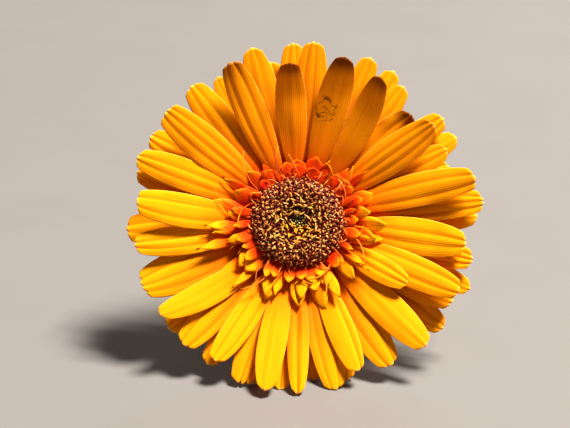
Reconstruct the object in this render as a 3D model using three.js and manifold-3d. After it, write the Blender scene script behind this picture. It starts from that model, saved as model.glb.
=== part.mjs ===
// A cut gerbera lying on a table: it rests on the tips of its lowest rays and on the end of its stem,
// and its face looks forward (-Y) and a little up. Millimetres, +Z up, table at z = 0.
import * as THREE from "three";
import { mergeVertices } from "three/addons/utils/BufferGeometryUtils.js";
import Module from "manifold-3d";

const wasm = await Module();
wasm.setup();

// ---- Driving dimensions -------------------------------------------------------------------------

const FACE_TILT = 25; // degrees that the flower's axis rises above the table
const HEAD_HEIGHT = 39.6; // the centre of the receptacle's top above the table

const STEM = { radius: 2.8, sides: 12, steps: 18, onTable: 62, cutLength: 14, bendShare: 0.93 };

// Radius and height pairs, from the stem up to the rim that carries the rays.
const RECEPTACLE = {
  profile: [[0, -12], [3, -12], [5.6, -10.6], [9.4, -7.6], [11.6, -5.4], [12.6, -4.9], [12.6, 0.2], [0, 0.9]],
  sides: 36,
  foot: 12.3, // how far behind the rim's plane the stem begins
};

const INVOLUCRE = {
  profile: [[3.2, -12.9], [6.2, -11.9], [10.3, -8.7], [12.6, -6], [12.4, -5.5], [11.9, -5.7], [9.65, -7.9],
    [5.85, -10.95], [3.2, -12.4]],
  sides: 24,
  rows: [
    { count: 15, base: 7.8, height: -10.2, length: 10, width: 2.6, lift: 27, bow: -0.8, turn: 0 },
    { count: 11, base: 5.4, height: -11.7, length: 8.4, width: 2.2, lift: 22, bow: -0.5, turn: 12 },
  ],
  thickness: 0.6,
  taper: 0.86, // share of its width that a bract has lost at its tip
  sharpness: 1.6,
  stations: [0, 0.5, 1],
};

const RAY = {
  thickness: 0.45,
  clearance: 0.32, // kept between one ray and the next
  base: 13, // radius at which a ray leaves the receptacle's rim
  claw: 2.3, // width of the stalk-like base
  liftStep: 0.5, // degrees
  tableStep: 0.05,
  mostLift: 45,
  lean: 5, // further lift of the rays at the top, which gravity doesn't pull open
  widest: 0.64, // share of the length where a ray is widest
  swell: 1.15,
  tipEnd: 1.02, // where the round of the tip would close
  tipRound: 2.4,
  arch: 0.16,
  curlFrom: 0.6,
  stations: [0, 0.1, 0.24, 0.4, 0.56, 0.7, 0.82, 0.92, 0.98], // share of the length at each cross-section
};

// The rays grow in four rows, one behind another, and one short ray stands in front of them. Each ray is
// [clock angle of its tip in degrees, tip's distance from the flower's axis, width, clockwise swing of the
// tip, forward curl of the tip, arch of its section].
const RAY_ROWS = [
  {
    name: "back_ray", height: -4.3, lift: 6, bow: 1.6,
    rays: [[32.6, 50, 7], [62, 50.4, 7.6], [174, 45, 7.6], [195, 47.5, 7], [350, 45.5, 7.5]],
  },
  {
    name: "third_ray", height: -3.1, lift: 9, bow: 1.6,
    rays: [[358.5, 49.8, 7.6], [23.9, 50, 7.6], [38, 47.9, 7.4], [54.5, 49.8, 7.6], [70, 45, 7],
      [88.3, 50.2, 7.5], [111.2, 51.6, 7.2], [126.2, 50.4, 8.2], [163, 46.6, 8, -2], [186, 48, 6.5],
      [212.5, 47.3, 6.6], [230.4, 47, 7.6], [267.5, 48, 9.6], [300, 47.6, 8], [331, 46.2, 6.6]],
  },
  {
    name: "second_ray", height: -1.9, lift: 13, bow: 1.2,
    rays: [[5.1, 50, 8.1], [46.7, 43.8, 8, 1, 2.4], [64, 46, 7], [83.6, 51.8, 8, 1], [102.4, 49.7, 8],
      [117.1, 48.4, 8.2], [147, 47.6, 9], [167.5, 47.9, 8], [180.2, 48.6, 5.4, 0, 0, 0.3], [199.8, 47.8, 8.2],
      [223.1, 46.8, 8.2], [247.6, 47, 11, 1.5], [287, 46.8, 8], [322, 47.9, 8.6], [345, 49.8, 8.2]],
  },
  {
    name: "front_ray", height: -0.7, lift: 17, bow: 0.4,
    rays: [[357, 44.9, 8.2, 0, 3], [16, 47.8, 8.9, -1, 2.4], [30, 46.5, 7.9, -4, 2.8], [54.4, 46.4, 9.2],
      [76, 50.4, 8.8, 2], [97.4, 46.8, 9.8, 1], [113.1, 48.8, 8.6], [134, 49.2, 9], [158, 44.4, 7.4],
      [191.3, 48, 7.6, -1], [211, 44.7, 7.4, 3], [236.2, 45.5, 7.6, 7], [262, 45.6, 7.8, 2], [277, 46, 9, 3],
      [292, 47.9, 8.4, -1.5], [310, 47.8, 9.8, 0, 1.2], [336.9, 48.3, 8.4, 0, 2]],
  },
  {
    name: "short_ray", height: 0.25, lift: 18, bow: 0.6,
    rays: [[119.3, 35, 6.4]],
  },
];

const TRANS = { sides: 36, thickness: 0.5, claw: 0.5, inset: 0.5, stations: [0, 0.4, 0.75, 0.97] };
const TRANS_ROWS = [
  {
    name: "outer_trans_florets", inner: 11.2, outer: 12.9, bottom: 1.3, top: 2.2,
    count: 20, length: 9, width: 3, lift: 25, bow: 0.5,
  },
  {
    name: "inner_trans_florets", inner: 11.2, outer: 12.6, bottom: 2.6, top: 3.4,
    count: 16, length: 6, width: 2.6, lift: 38, bow: 0.4,
  },
];

const DISC = {
  // Closed ring of open florets: the crown stands over the trans florets, the middle dips.
  ring: [[4.7, 1.2], [10.9, 1.2], [10.9, 3.7], [12.5, 4.4], [12.7, 5.8], [11.4, 7], [8.4, 7.3], [4.7, 6.1]],
  buds: [[0, 1.3], [4.3, 1.3], [4.3, 5.1], [3, 5.5], [0, 5.4]],
  sides: 24,
  crowns: [
    { radius: 11.2, height: 6.8, count: 16 },
    { radius: 8.8, height: 7, count: 12 },
    { radius: 6.4, height: 6.5, count: 8 },
  ],
  budCrowns: [
    { radius: 3.3, height: 5.2, count: 7 },
    { radius: 1.5, height: 5.3, count: 3 },
  ],
  crownRadius: 0.8,
  crownRise: 0.9,
  crownTaper: 0.7,
  crownSides: 6,
};

const COLOURS = {
  stem: 0x6f8f3a,
  receptacle: 0x8aa14a,
  involucre: 0x54732c,
  ray: 0xf2b50f,
  trans: 0xf07a18,
  disc: 0x8a4a24,
  buds: 0x6b5a22,
};

// ---- Helpers ------------------------------------------------------------------------------------

const radians = THREE.MathUtils.degToRad;

function finish(colour, roughness = 0.6) {
  return new THREE.MeshStandardMaterial({ color: colour, roughness, metalness: 0 });
}

function positionOnly(geometry) {
  const bare = geometry.clone();
  bare.deleteAttribute("normal");
  bare.deleteAttribute("uv");
  return mergeVertices(bare, 1e-3);
}

function solidOf(geometry) {
  const merged = positionOnly(geometry);
  return new wasm.Manifold(
    new wasm.Mesh({
      numProp: 3,
      vertProperties: new Float32Array(merged.attributes.position.array),
      triVerts: new Uint32Array(merged.index.array),
    }),
  );
}

function geometryOf(solid) {
  const mesh = solid.getMesh();
  const positions = new Float32Array(mesh.numVert * 3);
  for (let i = 0; i < mesh.numVert; i++) {
    positions.set(mesh.vertProperties.subarray(i * mesh.numProp, i * mesh.numProp + 3), i * 3);
  }
  const geometry = new THREE.BufferGeometry();
  geometry.setAttribute("position", new THREE.BufferAttribute(positions, 3));
  geometry.setIndex(new THREE.BufferAttribute(new Uint32Array(mesh.triVerts), 1));
  geometry.computeVertexNormals();
  return geometry;
}

// A turned solid about +Z from [radius, height] pairs that start and end on the axis or close on themselves.
function turned(profile, sides) {
  const points = profile.map(([radius, height]) => new THREE.Vector2(radius, height));
  if (profile[0][0] > 0) points.push(points[0].clone());
  const geometry = new THREE.LatheGeometry(points, sides);
  geometry.rotateX(Math.PI / 2); // the lathe's own axis is Y
  return geometry;
}

// Share of the full width along a ray: a narrow claw, widest past the middle, a blunt tip.
function rayOutline(share, claw) {
  const { widest, swell, tipEnd, tipRound } = RAY;
  if (share < widest) return claw + (1 - claw) * Math.sin((Math.PI / 2) * (share / widest)) ** swell;
  return Math.sqrt(1 - ((share - widest) / (tipEnd - widest)) ** tipRound);
}

// Share of the full width along a bract: widest near its base, with a sharp tip.
function bractOutline(share) {
  return 1 - INVOLUCRE.taper * share ** INVOLUCRE.sharpness;
}

// A thin blade that grows from the origin along +X, with +Z as its upper face.
function bladeGeometry(shape) {
  const { length, width, thickness, bow = 0, swing = 0, curl = 0, arch = RAY.arch, outline, stations } = shape;
  const across = [-1, 0, 1];
  const corners = [];
  for (const share of stations) {
    const half = (width / 2) * outline(share);
    const curled = Math.max(0, (share - RAY.curlFrom) / (1 - RAY.curlFrom)) ** 2;
    const rise = bow * 4 * share * (1 - share) + curl * curled;
    for (const side of [1, -1]) {
      for (const v of across) {
        corners.push(
          length * share,
          v * half - swing * share * share,
          rise - arch * half * v * v + (side * thickness) / 2,
        );
      }
    }
  }
  const perRow = 2 * across.length;
  const rim = [0, 1, 2, 5, 4, 3]; // once round a section, upper face first
  const faces = [];
  const quad = (a, b, c, d) => faces.push(a, b, c, a, c, d);
  for (let row = 0; row + 1 < stations.length; row++) {
    for (let k = 0; k < perRow; k++) {
      const here = row * perRow + rim[k];
      const next = row * perRow + rim[(k + 1) % perRow];
      quad(here, here + perRow, next + perRow, next);
    }
  }
  const end = (stations.length - 1) * perRow;
  quad(0, 1, 4, 3);
  quad(1, 2, 5, 4);
  quad(end + 3, end + 4, end + 1, end);
  quad(end + 4, end + 5, end + 2, end + 1);
  const geometry = new THREE.BufferGeometry();
  geometry.setAttribute("position", new THREE.Float32BufferAttribute(corners, 3));
  geometry.setIndex(faces);
  geometry.computeVertexNormals();
  return geometry;
}

// Puts a blade on the flower's head: clock is its clockwise angle from the top, lift its rise from the
// face's plane.
function placeOnHead(object, clock, radius, height, lift) {
  const angle = radians(90 - clock);
  object.position.set(radius * Math.cos(angle), radius * Math.sin(angle), height);
  object.rotation.set(0, radians(-lift), angle, "ZYX");
  object.updateMatrix();
}

// ---- The parts ----------------------------------------------------------------------------------

const head = new THREE.Group();
head.rotation.x = radians(90 - FACE_TILT);
head.position.z = HEAD_HEIGHT;
head.updateMatrixWorld(true);

function receptacle() {
  const mesh = new THREE.Mesh(turned(RECEPTACLE.profile, RECEPTACLE.sides), finish(COLOURS.receptacle));
  mesh.name = "receptacle";
  return mesh;
}

// Blades set round the axis and joined to a turned base.
function crownOfBlades(base, rows, outline, stations) {
  const blade = new THREE.Object3D();
  let solid = base;
  for (const row of rows) {
    const one = solidOf(bladeGeometry({ ...row, outline, stations }));
    for (let i = 0; i < row.count; i++) {
      placeOnHead(blade, row.turn + (360 / row.count) * i, row.base, row.height, row.lift);
      solid = solid.add(one.transform(blade.matrix.elements));
    }
  }
  return geometryOf(solid);
}

function involucre() {
  const rows = INVOLUCRE.rows.map((row) => ({ ...row, thickness: INVOLUCRE.thickness }));
  const cup = solidOf(turned(INVOLUCRE.profile, INVOLUCRE.sides));
  const crown = crownOfBlades(cup, rows, bractOutline, INVOLUCRE.stations);
  const mesh = new THREE.Mesh(crown, finish(COLOURS.involucre));
  mesh.name = "involucre_bracts";
  return mesh;
}

function transFlorets(row) {
  const { inner, outer, bottom, top } = row;
  const ring = solidOf(turned([[inner, bottom], [outer, bottom], [outer, top], [inner, top]], TRANS.sides));
  const blades = {
    ...row,
    base: outer - TRANS.inset,
    height: (bottom + top) / 2,
    thickness: TRANS.thickness,
    turn: 180 / row.count,
  };
  const outline = (share) => rayOutline(share, TRANS.claw);
  const mesh = new THREE.Mesh(crownOfBlades(ring, [blades], outline, TRANS.stations), finish(COLOURS.trans));
  mesh.name = row.name;
  return mesh;
}

// A turned base with a short six-sided floret standing at each place on its crowns.
function discFlorets(name, profile, crowns, colour) {
  let solid = solidOf(turned(profile, DISC.sides));
  const { crownRadius: radius, crownRise: rise, crownTaper: taper, crownSides: sides } = DISC;
  const stud = new THREE.CylinderGeometry(radius * taper, radius, 2 * rise, sides).rotateX(Math.PI / 2);
  const floret = solidOf(stud);
  for (const crown of crowns) {
    for (let i = 0; i < crown.count; i++) {
      const angle = (2 * Math.PI * i) / crown.count;
      const place = new THREE.Matrix4().makeTranslation(
        crown.radius * Math.cos(angle),
        crown.radius * Math.sin(angle),
        crown.height,
      );
      solid = solid.add(floret.transform(place.elements));
    }
  }
  const mesh = new THREE.Mesh(geometryOf(solid), finish(colour, 0.8));
  mesh.name = name;
  return mesh;
}

// The stem leaves the receptacle along the flower's axis and bends down until it lies on the table.
class StemLine extends THREE.Curve {
  constructor() {
    super();
    const tilt = radians(FACE_TILT);
    const back = new THREE.Vector3(0, Math.cos(tilt), -Math.sin(tilt));
    const start = head.position.clone().addScaledVector(back, RECEPTACLE.foot);
    const run = (start.z - STEM.radius) / Math.tan(tilt);
    const knee = start.clone().add(new THREE.Vector3(0, run, STEM.radius - start.z));
    this.end = knee.clone().add(new THREE.Vector3(0, STEM.onTable, 0));
    this.bend = new THREE.QuadraticBezierCurve3(start, knee, this.end);
  }
  getPoint(t, target = new THREE.Vector3()) {
    const share = STEM.bendShare;
    if (t < share) return target.copy(this.bend.getPoint(t / share));
    const past = (t - share) / (1 - share);
    return target.copy(this.end).add(new THREE.Vector3(0, past * STEM.cutLength, 0));
  }
}

function stem() {
  const section = new THREE.Shape();
  for (let i = 0; i < STEM.sides; i++) {
    const angle = (2 * Math.PI * (i + 0.5)) / STEM.sides;
    section[i ? "lineTo" : "moveTo"](STEM.radius * Math.cos(angle), STEM.radius * Math.sin(angle));
  }
  section.closePath();
  const geometry = new THREE.ExtrudeGeometry(section, { steps: STEM.steps, extrudePath: new StemLine() });
  const mesh = new THREE.Mesh(geometry, finish(COLOURS.stem));
  mesh.name = "stem";
  return mesh;
}

// Lowest point above the table of a mesh that stands on the head.
function lowestPoint(mesh) {
  const world = new THREE.Matrix4().multiplyMatrices(head.matrixWorld, mesh.matrix);
  const positions = mesh.geometry.getAttribute("position");
  const point = new THREE.Vector3();
  let lowest = Infinity;
  for (let i = 0; i < positions.count; i++) {
    lowest = Math.min(lowest, point.fromBufferAttribute(positions, i).applyMatrix4(world).z);
  }
  return lowest;
}

// Rays are set from the back row forward. Each one is lifted until it clears those behind it, and the
// table, as the real ones push each other up.
function rayFlorets() {
  const meshes = [];
  const placed = [];
  for (const row of RAY_ROWS) {
    row.rays.forEach(([clock, reach, width, swing = 0, curl = 0, arch = RAY.arch], index) => {
      const nominal = row.lift + RAY.lean * Math.max(0, Math.cos(radians(clock)));
      const shape = {
        length: (reach - RAY.base) / Math.cos(radians(nominal)),
        width,
        swing,
        curl,
        arch,
        bow: row.bow,
        outline: (share) => rayOutline(share, RAY.claw / width),
        stations: RAY.stations,
      };
      const baseClock = clock - THREE.MathUtils.radToDeg(Math.asin(swing / reach));
      const blade = bladeGeometry({ ...shape, thickness: RAY.thickness });
      const mesh = new THREE.Mesh(blade, finish(COLOURS.ray, 0.5));
      mesh.name = `${row.name}_${String(index + 1).padStart(2, "0")}`;
      const thick = solidOf(bladeGeometry({ ...shape, thickness: RAY.thickness + 2 * RAY.clearance }));
      const near = placed.filter((other) => Math.abs(((clock - other.clock + 540) % 360) - 180) < 40);
      const clears = () => {
        const tried = thick.transform(mesh.matrix.elements);
        return near.every((other) => tried.intersect(other.solid).volume() < 1e-3);
      };
      let lift = nominal;
      placeOnHead(mesh, baseClock, RAY.base, row.height, lift);
      while (!clears()) {
        lift += RAY.liftStep;
        if (lift > RAY.mostLift) throw new Error(`${mesh.name} has no room`);
        placeOnHead(mesh, baseClock, RAY.base, row.height, lift);
      }
      while (lowestPoint(mesh) < 0) {
        lift += RAY.tableStep;
        placeOnHead(mesh, baseClock, RAY.base, row.height, lift);
      }
      placed.push({ clock, solid: solidOf(mesh.geometry).transform(mesh.matrix.elements) });
      mesh.userData.lift = lift - nominal;
      meshes.push(mesh);
    });
  }
  return meshes;
}

// ---- The flower ---------------------------------------------------------------------------------

head.add(receptacle(), involucre(), ...rayFlorets(), ...TRANS_ROWS.map(transFlorets));
head.add(
  discFlorets("open_disc_florets", DISC.ring, DISC.crowns, COLOURS.disc),
  discFlorets("disc_floret_buds", DISC.buds, DISC.budCrowns, COLOURS.buds),
);

const gerbera = new THREE.Group();
gerbera.add(head, stem());

// The origin is on the table, under the middle of the flower.
gerbera.updateMatrixWorld(true);
const bounds = new THREE.Box3().setFromObject(gerbera, true);
const middle = bounds.getCenter(new THREE.Vector3());
gerbera.position.set(-middle.x, -middle.y, -bounds.min.z);

export default gerbera;
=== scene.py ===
import math
import random

import bpy
import numpy as np
from mathutils import Matrix, Vector, noise


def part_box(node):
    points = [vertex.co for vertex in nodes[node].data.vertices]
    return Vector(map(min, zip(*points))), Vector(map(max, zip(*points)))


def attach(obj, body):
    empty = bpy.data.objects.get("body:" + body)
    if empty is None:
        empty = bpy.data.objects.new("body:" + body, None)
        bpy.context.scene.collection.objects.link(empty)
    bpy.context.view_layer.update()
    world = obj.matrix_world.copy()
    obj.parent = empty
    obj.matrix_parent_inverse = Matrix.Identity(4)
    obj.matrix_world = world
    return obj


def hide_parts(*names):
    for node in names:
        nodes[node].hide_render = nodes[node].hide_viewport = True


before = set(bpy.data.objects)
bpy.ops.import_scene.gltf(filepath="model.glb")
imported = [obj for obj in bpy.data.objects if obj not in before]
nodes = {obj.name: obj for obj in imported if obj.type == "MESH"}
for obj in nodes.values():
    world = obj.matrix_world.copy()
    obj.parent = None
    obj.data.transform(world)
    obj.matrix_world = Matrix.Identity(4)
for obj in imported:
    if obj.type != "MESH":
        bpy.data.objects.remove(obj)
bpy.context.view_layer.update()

mm = 0.001
rad = math.radians

# The flower's own frame, in millimetres: x to the right, y up the face, z out of the face.
face = {"tilt": rad(25), "seatRise": 0.9}  # how far the receptacle's top stands over the frame's origin
faceAxis = Vector((0, -math.cos(face["tilt"]), math.sin(face["tilt"])))
seatTop = max((v.co for v in nodes["receptacle"].data.vertices), key=lambda p: p.dot(faceAxis))
headOrigin = seatTop - faceAxis * face["seatRise"] * mm
headTurn = Matrix.Rotation(math.pi / 2 - face["tilt"], 4, "X")
headPlace = Matrix.Translation(headOrigin) @ headTurn @ Matrix.Scale(mm, 4)
toHead = np.array(headPlace.inverted())
fromHead = np.array(headPlace)


def moved(points, matrix):
    return points @ matrix[:3, :3].T + matrix[:3, 3]


# objects and meshes

def deselect():
    if bpy.context.object and bpy.context.object.mode != "OBJECT":
        bpy.ops.object.mode_set(mode="OBJECT")
    bpy.ops.object.select_all(action="DESELECT")


def pick(piece):
    deselect()
    piece.select_set(True)
    bpy.context.view_layer.objects.active = piece


def pickPoints(piece, wanted):
    # in edit mode, selects the points that a test of their place accepts
    bpy.ops.object.mode_set(mode="OBJECT")
    for kind in (piece.data.polygons, piece.data.edges, piece.data.vertices):
        kind.foreach_set("select", [False] * len(kind))
    for v in piece.data.vertices:
        v.select = wanted(v.co)
    bpy.ops.object.mode_set(mode="EDIT")
    bpy.ops.mesh.select_mode(type="VERT")


def editAll():
    bpy.ops.object.mode_set(mode="EDIT")
    bpy.ops.mesh.select_all(action="SELECT")


def newPiece(name, points, edges, faces):
    mesh = bpy.data.meshes.new(name)
    mesh.from_pydata(points, edges, faces)
    piece = bpy.data.objects.new(name, mesh)
    bpy.context.collection.objects.link(piece)
    return piece


def applyModifier(piece, kind, **settings):
    pick(piece)
    made = piece.modifiers.new(kind, kind)
    for name, value in settings.items():
        setattr(made, name, value)
    bpy.ops.object.modifier_apply(modifier=made.name)


def pointsOf(mesh):
    flat = np.empty(len(mesh.vertices) * 3)
    mesh.vertices.foreach_get("co", flat)
    return flat.reshape(-1, 3)


def setPoints(mesh, points):
    mesh.vertices.foreach_set("co", np.ascontiguousarray(points, dtype=np.float32).ravel())
    mesh.update()


def setValues(mesh, name, values):
    layer = mesh.attributes.get(name) or mesh.attributes.new(name, "FLOAT", "POINT")
    layer.data.foreach_set("value", np.asarray(values, dtype=np.float32))


def setMap(mesh, pairs):
    # one UV map, from a pair for each point
    corners = np.empty(len(mesh.loops), dtype=np.int32)
    mesh.loops.foreach_get("vertex_index", corners)
    layer = mesh.uv_layers[0] if mesh.uv_layers else mesh.uv_layers.new(name="surface")
    layer.name = "surface"
    layer.data.foreach_set("uv", np.asarray(pairs, dtype=np.float32)[corners].ravel())


def smoothStep(values, low, high):
    # a smooth step from 0 at low to 1 at high
    share = np.clip((values - low) / (high - low), 0, 1)
    return share * share * (3 - 2 * share)


def scatter(name, blanks, copies):
    # joins many shaped copies into one mesh: copies hold a blank's name, its points and its values
    points, faces, pairs, values = [], [], [], {}
    start = 0
    for blank, shaped, given in copies:
        points.append(shaped)
        faces += [[i + start for i in loop] for loop in blanks[blank]["faces"]]
        pairs.append(blanks[blank]["pairs"])
        for key, value in given.items():
            values.setdefault(key, []).append(np.full(len(shaped), value))
        start += len(shaped)
    piece = newPiece(name, moved(np.concatenate(points), fromHead).tolist(), [], faces)
    setMap(piece.data, np.concatenate(pairs))
    for key, parts in values.items():
        setValues(piece.data, key, np.concatenate(parts))
    piece.data.shade_smooth()
    return piece


def storeBlank(piece, pairs):
    # keeps a modelled blank's points and faces for copying, and removes its object
    mesh = piece.data
    kept = {
        "points": pointsOf(mesh),
        "faces": [list(f.vertices) for f in mesh.polygons],
        "pairs": np.asarray(pairs),
    }
    bpy.data.objects.remove(piece)
    return kept


# shader maths

class Value:
    # a shader socket that can stand in a sum: each operator adds a Math node
    def __init__(self, tree, socket):
        self.tree = tree
        self.socket = socket

    def reckon(self, operation, *terms):
        made = self.tree.nodes.new("ShaderNodeMath")
        made.operation = operation
        for slot, term in zip(made.inputs, terms):
            feed(self.tree, slot, term)
        return Value(self.tree, made.outputs[0])

    def __add__(self, other):
        return self.reckon("ADD", self, other)

    def __radd__(self, other):
        return self.reckon("ADD", other, self)

    def __sub__(self, other):
        return self.reckon("SUBTRACT", self, other)

    def __rsub__(self, other):
        return self.reckon("SUBTRACT", other, self)

    def __mul__(self, other):
        return self.reckon("MULTIPLY", self, other)

    def __rmul__(self, other):
        return self.reckon("MULTIPLY", other, self)

    def __pow__(self, other):
        return self.reckon("POWER", self, other)

    def sine(self):
        return self.reckon("SINE", self)

    def size(self):
        return self.reckon("ABSOLUTE", self)


def feed(tree, slot, term):
    if isinstance(term, Value):
        tree.links.new(term.socket, slot)
    elif hasattr(slot.default_value, "__len__") and len(term) == 3 and len(slot.default_value) == 4:
        slot.default_value = (*term, 1)
    else:
        slot.default_value = term


class Finish:
    # one material and the nodes it is made of
    def __init__(self, name):
        self.material = bpy.data.materials.new(name)
        self.material.use_nodes = True
        self.tree = self.material.node_tree
        self.tree.nodes.clear()

    def node(self, kind, settings=None, inputs=None, output=0):
        made = self.tree.nodes.new("ShaderNode" + kind)
        for name, value in (settings or {}).items():
            setattr(made, name, value)
        for name, term in (inputs or {}).items():
            feed(self.tree, made.inputs[name], term)
        return Value(self.tree, made.outputs[output])

    def step(self, value, low, high):
        return self.node("MapRange", {"interpolation_type": "SMOOTHSTEP"}, {
            "Value": value, "From Min": low, "From Max": high, "To Min": 0.0, "To Max": 1.0,
        })

    def blend(self, share, first, second, way="MIX"):
        return self.node("Mix", {"data_type": "RGBA", "blend_type": way, "clamp_factor": True}, {
            0: share, 6: first, 7: second,
        }, 2)

    def surface(self):
        # the two coordinates of the piece's own map
        place = self.node("UVMap", {"uv_map": "surface"})
        parts = self.tree.nodes.new("ShaderNodeSeparateXYZ")
        self.tree.links.new(place.socket, parts.inputs[0])
        return Value(self.tree, parts.outputs[0]), Value(self.tree, parts.outputs[1])

    def kept(self, name):
        return self.node("Attribute", {"attribute_name": name}, output=2)

    def speckle(self, scale, detail=2.0, roughness=0.5):
        place = self.node("TexCoord", output=3)
        return self.node("TexNoise", inputs={
            "Vector": place, "Scale": scale, "Detail": detail, "Roughness": roughness,
        })

    def bump(self, height, strength, distance):
        return self.node("Bump", inputs={"Height": height, "Strength": strength, "Distance": distance})

    def close(self, inputs, glow=None, glowShare=0.0):
        # the surface: one Principled shader, with light coming through it where glow is a colour
        shader = self.node("BsdfPrincipled", inputs=inputs)
        if glow:
            through = self.node("BsdfTranslucent", inputs={"Color": glow})
            shader = self.node("MixShader", inputs={0: glowShare, 1: shader, 2: through})
        end = self.tree.nodes.new("ShaderNodeOutputMaterial")
        self.tree.links.new(shader.socket, end.inputs["Surface"])
        return self.material


def give(piece, slotName, *materials):
    piece.data.materials.clear()
    for material in materials:
        piece.data.materials.append(material)
    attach(piece, "root")


# finishes

# several of these colours stand for light and shade (painted shade and painted highlight): the upper petals'
# orange, the rear rows' dark red, the furrow colour where it darkens the furrows, the pale rim and the tips'
# brown; the furrow colour is also the veins' own colour, and the tips' brown is partly real
petalColours = {
    "flush": (0.66, 0.020, 0.002), "middle": (0.93, 0.18, 0.002), "tip": (0.95, 0.330, 0.002),
    "shadeAndRed": (0.86, 0.17, 0.002), "furrow": (0.44, 0.085, 0.002), "brownShade": (0.12, 0.014, 0.003),
    "back": (0.92, 0.50, 0.050), "through": (1.0, 0.16, 0.002), "mark": (0.13, 0.024, 0.004),
    "deep": (0.32, 0.022, 0.003), "rim": (1.0, 0.60, 0.08), "streak": (0.74, 0.130, 0.002),
    "light": (1.0, 0.46, 0.006), "sheen": (1.0, 0.55, 0.12),
}
petalFrom = {
    # where each colour starts and is full: shares of the length or of the half width, or noise values
    "middle": (0.0, 0.24), "tip": (0.16, 0.55), "streak": (0.50, 0.74), "light": (0.48, 0.26),
    "lightReach": (0.25, 0.7), "deep": (0.88, 0.50), "veins": (0.55, 1.0), "furrow": (0.10, 1.0),
    "rimSide": (0.95, 0.995), "rimEnd": (0.972, 0.995), "brownShade": (0.83, 0.98),
    "specks": (0.66, 0.70), "speckPatch": (0.50, 0.60),
}
petalShare = {
    # how strongly each colour covers those below it
    "shadeAndRed": 0.8, "streak": 0.34, "light": 0.30, "back": 0.7, "deep": 0.85, "veins": 0.15, "furrow": 0.62,
    "rim": 0.5, "tone": 0.35, "specks": 0.55, "trail": 0.85, "through": 0.07,
}


def minerTrail(f, along, across, wander):
    # the thin coiled line that a leaf miner leaves: a spiral round one place on the petal
    trail = {
        "along": 0.555, "across": 0.73, "length": 37.0, "width": 8.9, "turns": 3.4, "size": 3.6,
        "squeeze": 0.8, "wander": 5.5, "waver": 5.0, "grain": 700.0,
        "line": (0.68, 0.95), "gaps": (0.28, 0.36),
    }
    x = (along - trail["along"]) * trail["length"] * trail["squeeze"] + (wander - 0.5) * trail["wander"]
    y = (across - trail["across"]) * trail["width"] + (f.speckle(trail["grain"]) - 0.5) * trail["waver"]
    away = (x * x + y * y) ** 0.5
    coil = (away * trail["turns"] + f.node("Math", {"operation": "ARCTAN2"}, {0: y, 1: x})).sine()
    inside = f.step(away, trail["size"], trail["size"] * 0.8)
    return f.step(coil, *trail["line"]) * inside * f.step(wander, *trail["gaps"])


def rayFinish(name, isBack=False, isMarked=False):
    c, start, share = petalColours, petalFrom, petalShare
    f = Finish(name)
    along, across = f.surface()
    blotch = f.speckle(160.0, 3.0)
    wander = f.speckle(420.0)
    tone, shadeAndRed, deep, furrow, tipShadeAndBrown = (f.kept(k) for k in ("tone", "shadeAndRed", "deep", "furrow", "tipShadeAndBrown"))
    # on the rear rows the red foot reaches further out: painted shade, as if the rows in front shaded them
    reach = along + (blotch - 0.5) * 0.10 - deep * 0.22
    colour = f.blend(f.step(reach, *start["middle"]), c["flush"], c["middle"])
    colour = f.blend(f.step(reach, *start["tip"]), colour, c["tip"])
    # painted shade: petals that point towards the top of the face turn deeper orange and darker, as where
    # light only grazes them
    colour = f.blend(shadeAndRed * share["shadeAndRed"], colour, c["shadeAndRed"])
    streak = f.node("TexNoise", inputs={
        "Vector": f.node("CombineXYZ", inputs={0: across * 20.0, 1: along * 2.2, 2: tone * 30.0}),
        "Scale": 1.0, "Detail": 3.0, "Roughness": 0.6,
    })
    colour = f.blend(f.step(streak, *start["streak"]) * share["streak"], colour, c["streak"])
    light = f.step(streak, *start["light"]) * f.step(along, *start["lightReach"])
    colour = f.blend(light * share["light"], colour, c["light"])
    if isBack:
        colour = f.blend(share["back"], colour, c["back"])
    else:
        # painted shade: the rear rows turn dark red towards their feet, where the petals in front would shade
        # them
        colour = f.blend(f.step(along, *start["deep"]) * deep * share["deep"], colour, c["deep"])
    veins = ((across + (wander - 0.5) * 0.012) * (2 * math.pi * 15)).sine()
    colour = f.blend(f.step(veins, *start["veins"]) * share["veins"], colour, c["furrow"])
    # painted shade: the furrows darker orange, on top of the shade their own shape casts
    colour = f.blend(f.step(furrow, *start["furrow"]) * share["furrow"], colour, c["furrow"])
    # painted highlight: a paler line along the edges and round the end
    rim = f.step((across - 0.5).size() * 2.0, *start["rimSide"]) + f.step(along, *start["rimEnd"])
    colour = f.blend(rim * share["rim"], colour, c["rim"])
    # painted shade on the tips of the upper petals, which lean towards the front, with some real browning
    colour = f.blend(f.step(along + (blotch - 0.5) * 0.12, *start["brownShade"]) * tipShadeAndBrown, colour, c["brownShade"])
    colour = f.blend((tone - 0.5).size() * share["tone"], colour, c["middle"])
    specks = f.step(f.speckle(1700.0, 1.0), *start["specks"]) * f.step(blotch, *start["speckPatch"])
    colour = f.blend(specks * shadeAndRed * share["specks"], colour, c["mark"])
    if isMarked:
        colour = f.blend(minerTrail(f, along, across, wander) * share["trail"], colour, c["mark"])
    return f.close({
        "Base Color": colour,
        "Roughness": 0.52 + (blotch - 0.5) * 0.12,
        "Specular IOR Level": 0.05,
        "Specular Tint": c["sheen"],
        "Normal": f.bump(veins * 0.35 + f.speckle(3000.0) * 0.35, 0.35, 0.00012),
    }, c["through"], share["through"])


# the pale edge colour is a painted highlight
transColours = {
    "foot": (0.54, 0.008, 0.002), "middle": (0.88, 0.085, 0.002), "tip": (0.97, 0.38, 0.003),
    "veins": (0.55, 0.04, 0.004), "edgeHighlight": (1.0, 0.36, 0.02), "pale": (0.85, 0.30, 0.060),
    "through": (1.0, 0.07, 0.002),
}


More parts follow.
